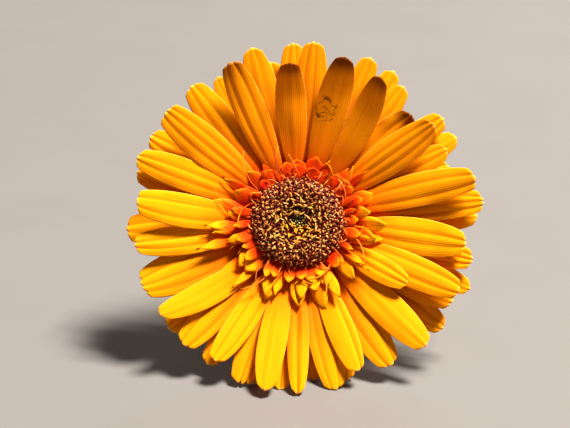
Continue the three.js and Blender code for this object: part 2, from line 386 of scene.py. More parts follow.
def transFinish():
    c = transColours
    f = Finish("trans_floret_skin")
    along, across = f.surface()
    tone, shadeAndRed, pale = (f.kept(k) for k in ("tone", "shadeAndRed", "pale"))
    blotch = f.speckle(500.0)
    # painted shade: florets towards the top of the face, and in the inner rows, stay red further out
    reach = along + (blotch - 0.5) * 0.2 - shadeAndRed * 0.6
    colour = f.blend(f.step(reach, 0.0, 0.34), c["foot"], c["middle"])
    colour = f.blend(f.step(reach, 0.24, 0.60), colour, c["tip"])
    veins = (across * (2 * math.pi * 7)).sine()
    colour = f.blend(f.step(veins, 0.5, 1.0) * 0.18, colour, c["veins"])
    # painted highlight: paler orange along the edges
    edgeHighlight = f.step((across - 0.5).size() * 2.0, 0.86, 0.99)
    colour = f.blend(edgeHighlight * 0.25, colour, c["edgeHighlight"])
    colour = f.blend(tone * 0.2, colour, petalColours["middle"])
    colour = f.blend(pale, colour, c["pale"])
    return f.close({
        "Base Color": colour,
        "Roughness": 0.50 + (blotch - 0.5) * 0.1,
        "Specular IOR Level": 0.05,
        "Specular Tint": petalColours["sheen"],
        "Normal": f.bump(veins * 0.4 + blotch * 0.3, 0.35, 0.0001),
    }, c["through"], 0.12)


discColours = {
    "tube": (0.13, 0.004, 0.002), "tan": (0.44, 0.135, 0.028), "straw": (0.72, 0.35, 0.075),
    "cream": (0.86, 0.54, 0.17), "red": (0.78, 0.16, 0.045), "gold": (0.80, 0.38, 0.015),
    "dark": (0.030, 0.012, 0.010), "floorLow": (0.05, 0.006, 0.005), "floorHigh": (0.16, 0.02, 0.01),
    "budFoot": (0.045, 0.008, 0.006), "budLow": (0.26, 0.20, 0.055), "budHigh": (0.46, 0.42, 0.16),
    "budGold": (0.76, 0.40, 0.025), "budDark": (0.07, 0.045, 0.04),
}


def discFinish():
    c = discColours
    f = Finish("disc_floret_skin")
    along = f.surface()[0]
    tone, gold, dark, red = (f.kept(k) for k in ("tone", "gold", "dark", "red"))
    blotch = f.speckle(900.0)
    lobe = f.blend(f.step(tone, 0.0, 0.6), c["tan"], c["straw"])
    lobe = f.blend(f.step(tone, 0.55, 1.0), lobe, c["cream"])
    lobe = f.blend(red * 0.55, lobe, c["red"])
    lobe = f.blend(gold, lobe, c["gold"])
    colour = f.blend(f.step(along + (blotch - 0.5) * 0.15, 0.42, 0.75), c["tube"], lobe)
    colour = f.blend(dark, colour, c["dark"])
    return f.close({
        "Base Color": colour,
        "Roughness": 0.5 + (blotch - 0.5) * 0.2,
        "Specular IOR Level": 0.08,
        "Normal": f.bump(blotch, 0.3, 0.0001),
    })


def budFinish():
    c = discColours
    f = Finish("disc_bud_skin")
    along = f.surface()[0]
    tone, gold, dark = (f.kept(k) for k in ("tone", "gold", "dark"))
    blotch = f.speckle(900.0)
    top = f.blend(tone, c["budLow"], c["budHigh"])
    top = f.blend(gold, top, c["budGold"])
    top = f.blend(dark, top, c["budDark"])
    colour = f.blend(f.step(along + (blotch - 0.5) * 0.1, 0.35, 0.75), c["budFoot"], top)
    return f.close({
        "Base Color": colour, "Roughness": 0.5 + (blotch - 0.5) * 0.2,
        "Specular IOR Level": 0.15, "Normal": f.bump(blotch, 0.3, 0.0001),
    })


greenColours = {
    "stemDark": (0.028, 0.062, 0.008), "stemLight": (0.055, 0.102, 0.016), "stemFoot": (0.10, 0.10, 0.025),
    "bractDark": (0.036, 0.085, 0.008), "bractLight": (0.095, 0.170, 0.022), "bractTip": (0.14, 0.045, 0.02),
    "seatDark": (0.16, 0.045, 0.006), "seatLight": (0.25, 0.085, 0.010),
    "hairDark": (0.22, 0.26, 0.13), "hairLight": (0.34, 0.37, 0.22),
    "cutDark": (0.17, 0.20, 0.07), "cutLight": (0.27, 0.29, 0.13),
}


def blotchedFinish(name, dark, light, scale, detail, rough, bump=None):
    # two colours in soft blotches; bump is its strength and distance
    f = Finish(name)
    blotch = f.speckle(scale, detail)
    inputs = {"Base Color": f.blend(blotch, dark, light), "Roughness": rough}
    if bump:
        inputs["Normal"] = f.bump(blotch, *bump)
    return f.close(inputs)


def ribbedGreen(name, dark, light, scale, ribs):
    f = Finish(name)
    along, across = f.surface()
    blotch = f.speckle(scale, 3.0)
    colour = f.blend(f.step(blotch, 0.3, 0.7), dark, light)
    lines = (across * (2 * math.pi * ribs)).sine()
    colour = f.blend(f.step(lines, 0.3, 1.0) * 0.3, colour, light)
    return f, colour, f.bump(blotch * 0.6 + lines * 0.4, 0.4, 0.0002), along, blotch


def stemFinish():
    c = greenColours
    f, colour, relief, along, blotch = ribbedGreen("stem_skin", c["stemDark"], c["stemLight"], 420.0, 12.0)
    return f.close({
        "Base Color": f.blend(f.step(along, 0.12, 0.0) * 0.5, colour, c["stemFoot"]),
        "Roughness": 0.55 + (blotch - 0.5) * 0.15, "Specular IOR Level": 0.2, "Normal": relief,
    })


def bractFinish():
    c = greenColours
    f, colour, relief, along = ribbedGreen("bract_skin", c["bractDark"], c["bractLight"], 500.0, 5.0)[:4]
    colour = f.blend(f.step(along, 0.72, 1.0) * 0.7, colour, c["bractTip"])
    return f.close({"Base Color": colour, "Roughness": 0.6, "Normal": relief})


# ray petals

rays = {
    "rows": 26, "columns": 16, "thickness": 0.28 * mm, "widest": 0.60, "claw": 0.36,
    "swell": 1.1, "taper": 2.2, "blunt": 0.66,  # powers of the outline's curves
    "tipRound": 0.036, "wave": 0.35, "flutter": 0.30, "lean": 0.25, "leastArch": 0.1,
    "furrowDepth": 0.42, "furrowWidth": 0.085, "furrowStart": (0.12, 0.5), "press": (0.02, 0.45),
    "nearTip": 0.99, "notchSpread": 0.7,
}
rayRows = {
    # how many, how near the front they lie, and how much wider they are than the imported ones
    "front_ray": {"count": 17, "inFront": 1.0, "spare": 1.06},
    "second_ray": {"count": 15, "inFront": 0.7, "spare": 1.12},
    "third_ray": {"count": 15, "inFront": 0.35, "spare": 1.12},
    "back_ray": {"count": 5, "inFront": 0.2, "spare": 1.12},
    "short_ray": {"count": 1, "inFront": 1.0, "spare": 1.12},
}
packedRay = {"corners": 6, "wideRow": 5, "lastRow": 0.98}  # how a packed ray's cross-sections lie

blankLooks = {
    # places of the furrows across the half width, their depth in mm and reach, notches and width at the tip
    "twoFurrows": {"furrows": (-0.375, 0.25), "depth": 0.34, "notch": 0.018, "spread": 0.24, "tip": 0.40},
    "wideFurrows": {"furrows": (-0.5, 0.375), "depth": 0.34, "notch": 0.018, "spread": 0.24, "tip": 0.43},
    "threeFurrows": {"furrows": (-0.5, 0.0, 0.5), "depth": 0.34, "notch": 0.020, "spread": 0.22, "tip": 0.45},
    "folded": {"furrows": (0.0,), "depth": 0.80, "notch": 0.010, "spread": 0.45, "tip": 0.30},
    "oneSide": {"furrows": (0.5,), "depth": 0.42, "notch": 0.018, "spread": 0.30, "tip": 0.40},
    "smooth": {"furrows": (-0.25, 0.375), "depth": 0.15, "notch": 0.006, "spread": 0.30, "tip": 0.32},
    "twoLobes": {"furrows": (0.0, 0.5), "depth": 0.46, "notch": 0.050, "spread": 0.30, "tip": 0.50},
}
otherLooks = ("smooth", "twoFurrows", "twoFurrows", "wideFurrows")  # drawn from for the rays not named
looksOf = {
    "smooth": ("front_ray_01", "front_ray_02", "front_ray_03", "front_ray_08", "front_ray_10"),
    "twoFurrows": ("front_ray_06", "front_ray_15"),
    "wideFurrows": ("front_ray_05", "front_ray_07", "second_ray_07"),
    "threeFurrows": ("front_ray_04", "front_ray_16", "second_ray_04", "second_ray_05", "second_ray_12"),
    "folded": ("second_ray_09", "third_ray_10"), "oneSide": ("front_ray_09",), "twoLobes": ("second_ray_10",),
}
rayLooks = {node: kind for kind, named in looksOf.items() for node in named}
markedRay = "front_ray_02"
# how strongly each petal's tip is darkened: painted shade with some real browning
shadedBrownTips = {
    "front_ray_01": 0.85, "front_ray_02": 0.9, "front_ray_03": 0.85, "second_ray_02": 0.9,
    "front_ray_17": 0.6, "front_ray_04": 0.35,
}


def rayOutline(share, tip):
    # share of the half width along a ray: a narrow claw, widest past the middle, a blunt end
    claw, widest = rays["claw"], rays["widest"]
    grow = claw + (1 - claw) * np.sin(np.pi / 2 * np.clip(share / widest, 0, 1)) ** rays["swell"]
    past = np.clip((share - widest) / (1 - widest), 0, 1)
    end = tip + (1 - tip) * (1 - past ** rays["taper"]) ** rays["blunt"]
    return np.where(share < widest, grow, end)


def flatGrid(rows, columns):
    # a grid laid flat, left in edit mode: x runs from 0 to 1, y from -1 to 1
    deselect()
    bpy.ops.mesh.primitive_grid_add(
        x_subdivisions=rows, y_subdivisions=columns, size=1, location=(0.5, 0, 0))
    blank = bpy.context.object
    bpy.ops.object.transform_apply(location=True)
    editAll()
    bpy.ops.transform.resize(value=(1, 2, 1))
    return blank


def makeRayBlank(look):
    # x is the share of the length, y the share of the half width, z millimetres
    blank = flatGrid(rays["rows"], rays["columns"])
    reach = 1.01 / rays["columns"]
    for line in look["furrows"]:
        pickPoints(blank, lambda p: abs(p.y - line) < reach)  # press the furrow down
        bpy.ops.transform.translate(
            value=(0, 0, -look["depth"]), use_proportional_edit=True,
            proportional_edit_falloff="SMOOTH", proportional_size=look["spread"])
        pickPoints(blank, lambda p: abs(p.y - line) < reach and p.x > rays["nearTip"])  # pull the notch back
        bpy.ops.transform.translate(
            value=(-look["notch"], 0, 0), use_proportional_edit=True,
            proportional_edit_falloff="SHARP", proportional_size=look["spread"] * rays["notchSpread"])
    bpy.ops.object.mode_set(mode="OBJECT")
    flat = pointsOf(blank.data)
    share, side, depth = flat.T.copy()
    flat[:, 2] = depth * smoothStep(share, *rays["press"])
    flat[:, 0] = share - rays["tipRound"] * side ** 2 * smoothStep(share, 0.7, 1.0)
    setPoints(blank.data, flat)
    lines = [np.exp(-(((side - line) / rays["furrowWidth"]) ** 2)) for line in look["furrows"]]
    furrow = np.max(lines, axis=0) * smoothStep(share, *rays["furrowStart"])
    setValues(blank.data, "furrow", furrow * look["depth"] / rays["furrowDepth"])
    applyModifier(blank, "SUBSURF", levels=1, render_levels=1, boundary_smooth="PRESERVE_CORNERS")
    return blank


def readRay(node):
    # the middle line of a packed ray, its sideways direction, half width and arch
    count, wideRow = packedRay["corners"], packedRay["wideRow"]
    corners = np.array([tuple(v.co) for v in nodes[node].data.vertices])
    corners = moved(np.unique(np.round(corners, 6), axis=0), toHead)
    inmost = corners[np.argsort(np.hypot(corners[:, 0], corners[:, 1]))[:count]]
    outward = np.linalg.svd(inmost - inmost.mean(0))[2][2]
    outward *= np.sign((corners.mean(0) - inmost.mean(0)) @ outward)
    rows = corners[np.argsort(corners @ outward)].reshape(-1, count, 3)
    sideways = np.linalg.svd(rows[wideRow] - rows[wideRow].mean(0))[2][0]
    up = np.cross(outward, sideways)
    if up[2] < 0:
        sideways, up = -sideways, -up
    threes = np.array([row[np.argsort(row @ sideways)].reshape(3, 2, 3).mean(1) for row in rows])
    halves = np.linalg.norm((threes[:, 2] - threes[:, 0]), axis=1) / 2
    rise = (threes[:, 1] - (threes[:, 0] + threes[:, 2]) / 2) @ up
    length = (rows[-1].mean(0) - rows[0].mean(0)) @ outward / packedRay["lastRow"]
    return {
        "line": threes[:, 1], "shares": (threes[:, 1] - threes[0, 1]) @ outward / length,
        "outward": outward, "sideways": sideways, "half": halves.max(),
        "arch": rise[wideRow] / halves[wideRow],
    }


def alongLine(shares, line, wanted):
    # a smooth curve through the line's points, straight on past its last one
    slopes = np.gradient(line, shares, axis=0)
    k = np.clip(np.searchsorted(shares, wanted, side="right") - 1, 0, len(shares) - 2)
    gap = (shares[k + 1] - shares[k])[:, None]
    t = np.clip((wanted - shares[k])[:, None] / gap, 0, 1)
    curve = ((2 * t**3 - 3 * t**2 + 1) * line[k] + (t**3 - 2 * t**2 + t) * gap * slopes[k]
             + (3 * t**2 - 2 * t**3) * line[k + 1] + (t**3 - t**2) * gap * slopes[k + 1])
    return curve + np.maximum(wanted - shares[-1], 0)[:, None] * slopes[-1]


def layRay(node, blank, tip, spare, dice):
    # tip is the width left at the tip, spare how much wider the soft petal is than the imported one
    ray = readRay(node)
    shares, line = ray["shares"], ray["line"]
    piece = bpy.data.objects.new(node.replace("ray", "petal"), blank.data.copy())
    bpy.context.collection.objects.link(piece)
    share, side, depth = pointsOf(piece.data).T.copy()
    mirrored = dice.choice((-1, 1))
    side = side * mirrored
    width = rayOutline(share, tip * dice.uniform(0.85, 1.15))
    furrowDepth = dice.uniform(0.6, 1.15)
    lean = dice.uniform(-0.25, 0.25)  # one half of the petal is a little wider
    offset = side * width * (1 + lean * rays["lean"] * side)
    ahead = alongLine(shares, line, share + 0.01) - alongLine(shares, line, share - 0.01)
    ahead /= np.linalg.norm(ahead, axis=1)[:, None]
    up = np.cross(ahead, ray["sideways"])
    seed = dice.uniform(0, 100)
    ripple = np.array([noise.noise((seed, s * 3.0, b * 0.9)) for s, b in zip(share, side)])
    flutter = np.array([noise.noise((seed + 40, s * 7.0, np.sign(b) * 2.0)) for s, b in zip(share, side)])
    arch = max(ray["arch"], rays["leastArch"]) * ray["half"] * side**2 * width
    height = (depth * furrowDepth - arch + rays["wave"] * ripple * width
              + rays["flutter"] * flutter * np.abs(side) ** 3 * smoothStep(share, 0.2, 0.6))
    outwards = ray["sideways"] * (offset * ray["half"] * spare)[:, None]
    points = moved(alongLine(shares, line, share) + outwards + up * height[:, None], fromHead)
    points[:, 2] = np.maximum(points[:, 2], 0.55 * rays["thickness"])  # no petal sinks into the table
    setPoints(piece.data, points)
    setMap(piece.data, np.stack([share, 0.5 + 0.5 * side], axis=1))
    if mirrored < 0:
        piece.data.flip_normals()  # the front skin stays in front
    return piece, ray["outward"][1]


print("ray petals")
frontSkin = rayFinish("ray_skin")
markedSkin = rayFinish("ray_skin_marked", isMarked=True)
backSkin = rayFinish("ray_back_skin", isBack=True)
blanks = {kind: makeRayBlank(look) for kind, look in blankLooks.items()}
for prefix, row in rayRows.items():
    for i in range(row["count"]):
        node = f"{prefix}_{i + 1:02d}"
        dice = random.Random(node)
        kind = rayLooks.get(node) or dice.choice(otherLooks)
        petal, upward = layRay(node, blanks[kind], blankLooks[kind]["tip"], row["spare"], dice)
        given = {
            "tone": dice.random(),
            # painted shade: strongest on front petals that point up the face
            "shadeAndRed": max(0.0, upward) * row["inFront"] * dice.uniform(0.4, 0.8),
            "tipShadeAndBrown": shadedBrownTips.get(node, 0.0),
            # how far back the row lies, which sets the painted shade of the rear rows
            "deep": 1 - row["inFront"],
        }
        for key, value in given.items():
            setValues(petal.data, key, np.full(len(petal.data.vertices), value))
        give(petal, "ray_petal", markedSkin if node == markedRay else frontSkin, backSkin)
        applyModifier(petal, "SOLIDIFY", thickness=rays["thickness"], offset=0.0, material_offset=1)
        petal.data.shade_smooth()
        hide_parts(node)
for blank in blanks.values():
    bpy.data.objects.remove(blank)


# trans florets

# the last value of each row is its base share of painted shade, most on the inner row by the disc
transRows = [
    {"name": "trans_florets_outer", "node": "outer_trans_florets", "count": 24, "radius": 12.3,
     "height": 1.5, "lift": 16, "length": 12.4, "width": 4.3, "curl": -9, "shadeAndRed": 0.10},
    {"name": "trans_florets_middle", "node": "inner_trans_florets", "count": 26, "radius": 12.0,
     "height": 2.2, "lift": 18, "length": 9.0, "width": 4.0, "curl": -8, "shadeAndRed": 0.24},
    {"name": "trans_florets_inner", "node": "inner_trans_florets", "count": 28, "radius": 11.8,
     "height": 3.0, "lift": 22, "length": 5.6, "width": 3.2, "curl": -8, "shadeAndRed": 0.50},
]
transLength = ((0, 0.25, 0.6, 1), (0.46, 0.85, 1.15, 1.02))  # from the top of the face, 0, to the bottom, 1
strap = {"widest": 0.6, "taper": 2.2, "tipRound": 0.07, "notch": 0.016}
strapLooks = {
    # thickness, tip width, claw width and furrow depth are shares of the half width
    "broad": {"rows": 8, "columns": 4, "thickness": 0.16, "tip": 0.34, "claw": 0.50, "furrow": 0.12},
    "pointed": {"rows": 8, "columns": 4, "thickness": 0.16, "tip": 0.12, "claw": 0.55, "furrow": 0.20},
    "thread": {"rows": 9, "columns": 1, "thickness": 0.5, "tip": 0.4, "claw": 0.9},
    "lobe": {"rows": 4, "columns": 1, "thickness": 0.55, "tip": 0.55, "claw": 0.9},
    "bract": {"rows": 7, "columns": 4, "thickness": 0.22, "tip": 0.04, "claw": 0.86, "furrow": 0.0},
}


def makeStrapBlank(look):
    # a small strap laid flat: x is the share of its length, y and z of its half width
    blank = flatGrid(look["rows"], look["columns"])
    if "furrow" in look:
        pickPoints(blank, lambda p: abs(p.y) < 0.1)
        bpy.ops.transform.translate(value=(0, 0, -look["furrow"]))
        pickPoints(blank, lambda p: abs(p.y) < 0.1 and p.x > 0.99)
        bpy.ops.transform.translate(value=(-strap["notch"], 0, 0))
    bpy.ops.object.mode_set(mode="OBJECT")
    flat = pointsOf(blank.data)
    share, side = flat[:, 0].copy(), flat[:, 1].copy()
    claw, tip, widest = look["claw"], look["tip"], strap["widest"]
    past = np.clip((share - widest) / (1 - widest), 0, 1)
    grow = claw + (1 - claw) * np.sin(np.pi / 2 * share / widest)
    width = np.where(share < widest, grow, 1 - (1 - tip) * past ** strap["taper"])
    flat[:, 0] = share - strap["tipRound"] * side**2 * smoothStep(share, widest, 1.0)
    flat[:, 1] = side * width
    setPoints(blank.data, flat)
    setMap(blank.data, np.stack([share, 0.5 + 0.5 * side], axis=1))
    applyModifier(blank, "SOLIDIFY", thickness=look["thickness"], offset=0.0)
    pairs = np.zeros((len(blank.data.vertices), 2))
    corners = np.empty(len(blank.data.loops), dtype=np.int32)
    blank.data.loops.foreach_get("vertex_index", corners)
    uv = np.empty(len(corners) * 2)
    blank.data.uv_layers[0].data.foreach_get("uv", uv)
    pairs[corners] = uv.reshape(-1, 2)
    return storeBlank(blank, pairs)


def bendStrap(points, length, width, lift, curl, twist=0.0, arch=0.15, sway=0.0):
    # curves a flat strap: it leaves at lift, turns by curl along its length and swings aside by sway,
    # all in radians
    share, side, depth = points.T
    steps = np.linspace(0, 1.05, 43)
    angle = lift + curl * steps
    stride = length * (steps[1] - steps[0])
    outs = np.concatenate([[0], np.cumsum(np.cos(angle[:-1]) * stride)])
    ups = np.concatenate([[0], np.cumsum(np.sin(angle[:-1]) * stride)])
    here = lift + curl * share
    lateral = side * width / 2
    rise = depth * width / 2 - arch * width / 2 * side**2
    roll = twist * share
    y = lateral * np.cos(roll) - rise * np.sin(roll)
    z = lateral * np.sin(roll) + rise * np.cos(roll)
    x = np.interp(share, steps, outs) - z * np.sin(here)
    if sway:
        swing = sway * x / length
        x, y = x * np.cos(swing / 2) - y * np.sin(swing), x * np.sin(swing / 2) + y * np.cos(swing)
    return np.stack([x, y, np.interp(share, steps, ups) + z * np.cos(here)], axis=1)


def placeOnHead(points, clock, radius, height, turn=0.0):
    # clock runs clockwise from the top of the face, in radians; turn swings the piece about its foot
    angle = math.pi / 2 - clock
    c, s = math.cos(angle + turn), math.sin(angle + turn)
    x = points[:, 0] * c - points[:, 1] * s + radius * math.cos(angle)
    y = points[:, 0] * s + points[:, 1] * c + radius * math.sin(angle)
    return np.stack([x, y, points[:, 2] + height], axis=1)


print("trans florets")
straps = {kind: makeStrapBlank(look) for kind, look in strapLooks.items()}
transSkin = transFinish()
for row in transRows:
    dice = random.Random(row["name"])
    copies = []
    for i in range(row["count"]):
        clock = 2 * math.pi * (i + dice.uniform(-0.32, 0.32)) / row["count"]
        low = 0.5 - 0.5 * math.cos(clock)  # 1 at the bottom of the face
        kind = "pointed" if dice.random() < 0.15 + 0.45 * abs(math.sin(clock)) else "broad"
        slim = 0.66 if kind == "pointed" else 1.0
        reach = np.interp(low, *transLength) * dice.uniform(0.8, 1.12)
        shaped = bendStrap(
            straps[kind]["points"], row["length"] * reach / slim**0.3,
            row["width"] * slim * dice.uniform(0.75, 1.2),
            rad(row["lift"] + dice.uniform(-3, 9)), rad(row["curl"] + dice.uniform(-14, 18)),
            rad(dice.uniform(-30, 30)), dice.uniform(0.1, 0.4))
        given = {
            "tone": dice.random(),
            # painted shade: redder towards the top of the face
            "shadeAndRed": row["shadeAndRed"] + 1.05 * (1 - low) ** 1.7 + dice.uniform(-0.12, 0.2),
        }
        turn = dice.uniform(-0.2, 0.2)
        copies.append((kind, placeOnHead(shaped, clock, row["radius"], row["height"], turn), given))
    piece = scatter(row["name"], straps, copies)
    give(piece, "trans_petal", transSkin)
    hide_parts(row["node"])

threadRows = [
    # short curled ones by the disc, and long fine ones that lie over the rays
    {"count": 30, "radius": 12.1, "height": 3.6, "length": (3.0, 6.5), "width": 0.34, "lift": (35, 75),
     "curl": (-230, -110), "pale": (0.2, 0.7), "sway": 170},
    {"count": 24, "radius": 12.4, "height": 2.6, "length": (7.0, 15.0), "width": 0.36, "lift": (22, 30),
     "curl": (-30, -6), "pale": (0.0, 0.35), "sway": 150},
]
dice = random.Random("threads")
copies = []
for row in threadRows:
    for i in range(row["count"]):
        clock = 2 * math.pi * (i + dice.uniform(-0.5, 0.5)) / row["count"]
        shaped = bendStrap(
            straps["thread"]["points"], dice.uniform(*row["length"]), row["width"] * dice.uniform(0.7, 1.3),
            rad(dice.uniform(*row["lift"])), rad(dice.uniform(*row["curl"])), rad(dice.uniform(-90, 90)),
            sway=rad(dice.uniform(-row["sway"], row["sway"])))
        # for the threads this value is only a random red tint, not shade
        given = {"tone": dice.random(), "shadeAndRed": dice.uniform(0.0, 0.8), "pale": dice.uniform(*row["pale"])}
        turn = dice.uniform(-0.5, 0.5)
        copies.append(("thread", placeOnHead(shaped, clock, row["radius"], row["height"], turn), given))
piece = scatter("trans_floret_threads", straps, copies)
give(piece, "trans_petal", transSkin)


# the disc

disc = {
    "spacing": 0.74, "count": 312, "buds": 32, "budRadius": 2.6, "anthersTo": 112, "squash": 0.94,
    "goldenAngle": rad(137.508),
    # radius and height pairs of the floor the florets stand on
    "floor": [(0, 4.0), (2.5, 4.1), (4.5, 4.5), (7, 5.4), (9.5, 5.7), (11.3, 5.0), (12.5, 3.6), (12.5, 1.0)],
    "lean": ((3.5, 6, 9, 11, 12.8), (-16, -4, 12, 34, 58)),  # radius, and degrees outwards there
    "budLean": -6,
    "goldRing": ((1.0, 3.2, 4.5, 6.5, 8.0), (0.2, 0.6, 0.6, 0.30, 0.0)),  # radius, and share of the colour
    "redRim": ((7.5, 10.5, 12.8), (0.0, 0.35, 1.0)),
    # the dark place and the pollen: where each lies on the face, and how wide and high it is
    "eye": {"x": -0.1, "y": 1.5, "wide": 2.9, "high": 1.6},
    "pollen": {"x": -1.0, "y": -3.9, "wide": 3.6, "high": 2.4},
}
frill = {"radii": (0.30, 0.34, 0.46), "foot": -1.6, "lobeRadius": 0.32, "lobeSink": 0.12, "lobeAlong": 0.45}
frillKinds = {
    "frill": {"made": 5, "lobes": 3, "length": 2.0, "width": 0.40, "top": 0.7, "curl": -265},
    "anther": {"made": 3, "lobes": 2, "length": 1.9, "width": 0.36, "top": 1.1, "curl": -120},
}
budTube = {"radii": (0.22, 0.30, 0.33, 0.22, 0.05), "heights": (-1.6, -0.2, 0.35, 0.8, 1.0)}


def turnProfile(name, profile, steps):
    # spins a profile of radius and height pairs round the flower's axis
    edges = [(i, i + 1) for i in range(len(profile) - 1)]
    piece = newPiece(name, [(r, 0, z) for r, z in profile], edges, [])
    pick(piece)
    editAll()
    bpy.ops.mesh.spin(steps=steps, angle=2 * math.pi, center=(0, 0, 0), axis=(0, 0, 1))
    bpy.ops.mesh.select_all(action="SELECT")
    bpy.ops.mesh.remove_doubles(threshold=0.001)
    bpy.ops.mesh.normals_make_consistent(inside=False)
    bpy.ops.object.mode_set(mode="OBJECT")
    return piece


def makeTube(sides, radii, heights):
    # a small standing tube, wider or narrower at each height, closed on top
    deselect()
    bpy.ops.mesh.primitive_circle_add(
        vertices=sides, radius=radii[0], location=(0, 0, heights[0]), fill_type="NGON")
    tube = bpy.context.object
    bpy.ops.object.transform_apply(location=True)
    editAll()
    for k in range(1, len(radii)):
        grow = radii[k] / radii[k - 1]
        rise = heights[k] - heights[k - 1]
        bpy.ops.mesh.extrude_region_move(TRANSFORM_OT_translate={"value": (0, 0, rise)})
        bpy.ops.transform.resize(value=(grow, grow, 1), center_override=(0, 0, heights[k]))
    bpy.ops.object.mode_set(mode="OBJECT")
    return tube


def joinBlank(parts):
    # several shaped arrays as one blank; along runs from 0 at the foot to 1 at the top
    points, faces, pairs = [], [], []
    start = 0
    for shaped, loops, along in parts:
        points.append(shaped)
        faces += [[i + start for i in loop] for loop in loops]
        pairs.append(np.stack([along, np.full(len(shaped), 0.5)], axis=1))
        start += len(shaped)
    return {"points": np.concatenate(points), "faces": faces, "pairs": np.concatenate(pairs)}


def frillBlank(kind, dice):
    # one open floret: a short tube with curled lobes round its top
    tube = storeBlank(makeTube(5, frill["radii"], (frill["foot"], 0.0, kind["top"])), [(0, 0)])
    base = tube["points"]
    parts = [(base, tube["faces"], np.clip((base[:, 2] + 0.4) / 3.0, 0, 0.35))]
    lobe = straps["lobe"]
    lobeAlong = frill["lobeAlong"] + (1 - frill["lobeAlong"]) * lobe["pairs"][:, 0]
    for i in range(kind["lobes"]):
        bent = bendStrap(
            lobe["points"], kind["length"] * dice.uniform(0.8, 1.25), kind["width"],
            rad(dice.uniform(35, 75)), rad(kind["curl"] * dice.uniform(0.7, 1.25)),
            rad(dice.uniform(-40, 40)))
        clock = 2 * math.pi * (i + dice.uniform(-0.25, 0.25)) / kind["lobes"]
        placed = placeOnHead(bent, clock, frill["lobeRadius"], kind["top"] - frill["lobeSink"])
        parts.append((placed, lobe["faces"], lobeAlong))
    return joinBlank(parts)


def leanOut(points, tilt, spin, size):
    # turns a standing floret about itself and tips it towards +x
    c, s = math.cos(spin), math.sin(spin)
    x, y, z = points[:, 0] * c - points[:, 1] * s, points[:, 0] * s + points[:, 1] * c, points[:, 2]
    ct, st = math.cos(tilt), math.sin(tilt)
    return np.stack([(x * ct + z * st) * size, y * size, (z * ct - x * st) * size], axis=1)


def patch(spot, x, y):
    # 1 in the middle of an oval place, fading out round it
    return math.exp(-(((x - spot["x"]) / spot["wide"]) ** 2 + ((y - spot["y"]) / spot["high"]) ** 2))


print("disc")
c = discColours
floorSkin = blotchedFinish("disc_floor_skin", c["floorLow"], c["floorHigh"], 700.0, 3.0, 0.7, (0.8, 0.0004))
floor = turnProfile("disc_floor", disc["floor"], 64)
setPoints(floor.data, moved(pointsOf(floor.data) * (1, disc["squash"], 1), fromHead))
give(floor, "disc_floret", floorSkin)
floor.data.shade_smooth()
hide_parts("open_disc_florets")

dice = random.Random("disc")
florets = {}
for name, kind in frillKinds.items():
    for k in range(kind["made"]):
        florets[f"{name}{k}"] = frillBlank(kind, dice)
bud = storeBlank(makeTube(6, budTube["radii"], budTube["heights"]), [(0, 0)])
budAlong = np.clip((bud["points"][:, 2] + 0.2) / 1.2, 0, 1)
bud["pairs"] = np.stack([budAlong, np.full(len(budAlong), 0.5)], axis=1)
florets["bud"] = bud

floorLine = np.array(disc["floor"])
groups = {"disc_florets": [], "disc_buds": []}
for n in range(disc["count"]):
    isBud = n < disc["buds"]
    if isBud:
        kind = "bud"
        radius = disc["budRadius"] * math.sqrt((n + 0.5) / disc["buds"])
    else:
        if n < disc["anthersTo"]:
            kind = f"anther{dice.randrange(3)}" if dice.random() < 0.7 else "frill0"
        else:
            kind = f"frill{dice.randrange(5)}"
        radius = math.hypot(disc["budRadius"], disc["spacing"] * math.sqrt(n - disc["buds"] + 0.5))
    clock = n * disc["goldenAngle"]
    height = np.interp(radius, floorLine[:-1, 0], floorLine[:-1, 1])
    lean = disc["budLean"] if isBud else np.interp(radius, *disc["lean"]) + dice.uniform(-14, 14)
    shaped = leanOut(florets[kind]["points"], rad(lean), dice.uniform(0, 6.283), dice.uniform(0.8, 1.2))
    placed = placeOnHead(shaped, clock, radius, height + dice.uniform(0.0, 0.5)) * (1, disc["squash"], 1)
    x, y = radius * math.sin(clock), radius * math.cos(clock)
    gold = np.interp(radius, *disc["goldRing"])
    pollen, eye = patch(disc["pollen"], x, y), patch(disc["eye"], x, y)
    given = {
        "tone": dice.random(),
        "gold": min(1.0, gold * dice.uniform(0.4, 1.0) + pollen * dice.uniform(0.8, 1.3)),
        "dark": min(1.0, 1.15 * eye * dice.uniform(0.7, 1.1)),
        "red": float(np.interp(radius, *disc["redRim"])) * dice.uniform(0.3, 1.0),
    }
    groups["disc_buds" if isBud else "disc_florets"].append((kind, placed, given))
for name, node, skin in (
        ("disc_florets", "open_disc_florets", discFinish()), ("disc_buds", "disc_floret_buds", budFinish())):
    piece = scatter(name, florets, groups[name])
    give(piece, "disc_floret", skin)
    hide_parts(node)


# involucre and receptacle

involucre = {
    "cup": [(2.95, -12.6), (4.4, -12.7), (6.2, -11.9), (10.3, -8.7), (12.5, -6.1), (12.3, -5.6), (9.8, -7.8),
            (5.9, -10.9), (2.95, -12.1)],
    "rows": [
        {"name": "bracts_inner", "count": 22, "radius": 9.4, "height": -8.9, "lift": 27, "length": 9.2,
         "width": 3.0, "curl": 8},
        {"name": "bracts_middle", "count": 19, "radius": 7.0, "height": -10.9, "lift": 25, "length": 9.4,
         "width": 2.9, "curl": 12},
        {"name": "bracts_outer", "count": 15, "radius": 4.6, "height": -12.4, "lift": 20, "length": 8.6,
         "width": 2.7, "curl": 14},
    ],
}
print("involucre")
bractSkin = bractFinish()
cup = turnProfile("involucre_cup", involucre["cup"] + involucre["cup"][:1], 48)
cupPoints = pointsOf(cup.data)
setMap(cup.data, np.stack([np.full(len(cupPoints), 0.3), np.arctan2(*cupPoints.T[:2]) * 4], axis=1))
setPoints(cup.data, moved(cupPoints, fromHead))
give(cup, "green_tissue", bractSkin)
cup.data.shade_smooth()
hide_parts("involucre_bracts")
